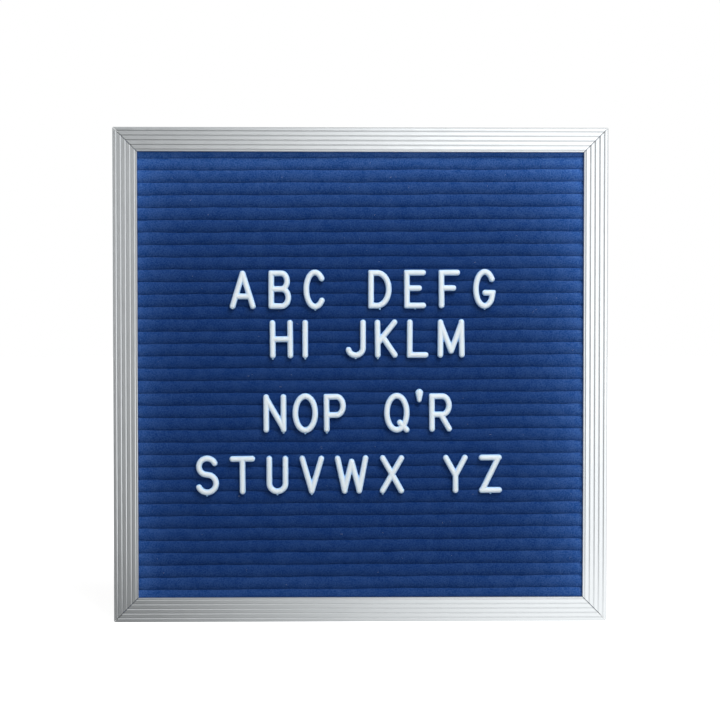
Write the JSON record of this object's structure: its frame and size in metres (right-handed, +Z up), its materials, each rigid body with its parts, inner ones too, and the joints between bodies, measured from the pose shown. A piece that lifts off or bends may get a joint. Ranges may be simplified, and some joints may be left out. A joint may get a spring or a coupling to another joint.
{
  "type": "felt letter board",
  "caption": "Square wall letter board: a grooved blue felt panel in a mitred aluminium frame, with white plastic letters pushed into the grooves.",
  "frame": {"origin": "middle of the board's underside, in the middle of the frame's depth", "axes": "+Z up, +X to the right of someone who reads the board, and the front faces -Y, so the wall is on the +Y side"},
  "size_m": [0.254, 0.016, 0.254],
  "materials": {
    "aluminium_frame": "satin silver anodised, with fine extrusion lines",
    "blue_felt": "short matte felt",
    "core_fibreboard": "raw fibreboard",
    "backing_hardboard": "smooth brown hardboard",
    "zinc_steel": "bright zinc plated",
    "spring_steel": "blued spring steel",
    "letter_plastic": "moulded white, slightly glossy"
  },
  "bodies": {
    "root": {"rail_bottom": "aluminium_frame", "rail_left": "aluminium_frame", "rail_right": "aluminium_frame", "rail_top": "aluminium_frame", "felt": "blue_felt", "core_board": "core_fibreboard", "backing_board": "backing_hardboard", "corner_plate_bottom_left": "zinc_steel", "corner_plate_bottom_right": "zinc_steel", "corner_plate_top_left": "zinc_steel", "corner_plate_top_right": "zinc_steel", "corner_shim_bottom_left": "zinc_steel", "corner_shim_bottom_right": "zinc_steel", "corner_shim_top_left": "zinc_steel", "corner_shim_top_right": "zinc_steel", "corner_screw_bottom_left_a": "zinc_steel", "corner_screw_bottom_left_b": "zinc_steel", "corner_screw_bottom_right_a": "zinc_steel", "corner_screw_bottom_right_b": "zinc_steel", "corner_screw_top_left_a": "zinc_steel", "corner_screw_top_left_b": "zinc_steel", "corner_screw_top_right_a": "zinc_steel", "corner_screw_top_right_b": "zinc_steel", "spring_clip_bottom": "spring_steel", "spring_clip_left": "spring_steel", "spring_clip_right": "spring_steel", "spring_clip_top": "spring_steel", "sawtooth_hanger": "zinc_steel", "hanger_screw_left": "zinc_steel", "hanger_screw_right": "zinc_steel", "letter_a": "letter_plastic", "letter_b": "letter_plastic", "letter_c": "letter_plastic", "letter_d": "letter_plastic", "letter_e": "letter_plastic", "letter_f": "letter_plastic", "letter_g": "letter_plastic", "letter_h": "letter_plastic", "letter_i": "letter_plastic", "letter_j": "letter_plastic", "letter_k": "letter_plastic", "letter_l": "letter_plastic", "letter_m": "letter_plastic", "letter_n": "letter_plastic", "letter_o": "letter_plastic", "letter_p": "letter_plastic", "letter_q": "letter_plastic", "letter_r": "letter_plastic", "letter_s": "letter_plastic", "letter_t": "letter_plastic", "letter_u": "letter_plastic", "letter_v": "letter_plastic", "letter_w": "letter_plastic", "letter_x": "letter_plastic", "letter_y": "letter_plastic", "letter_z": "letter_plastic", "letter_apostrophe": "letter_plastic"}
  },
  "joints": []
}
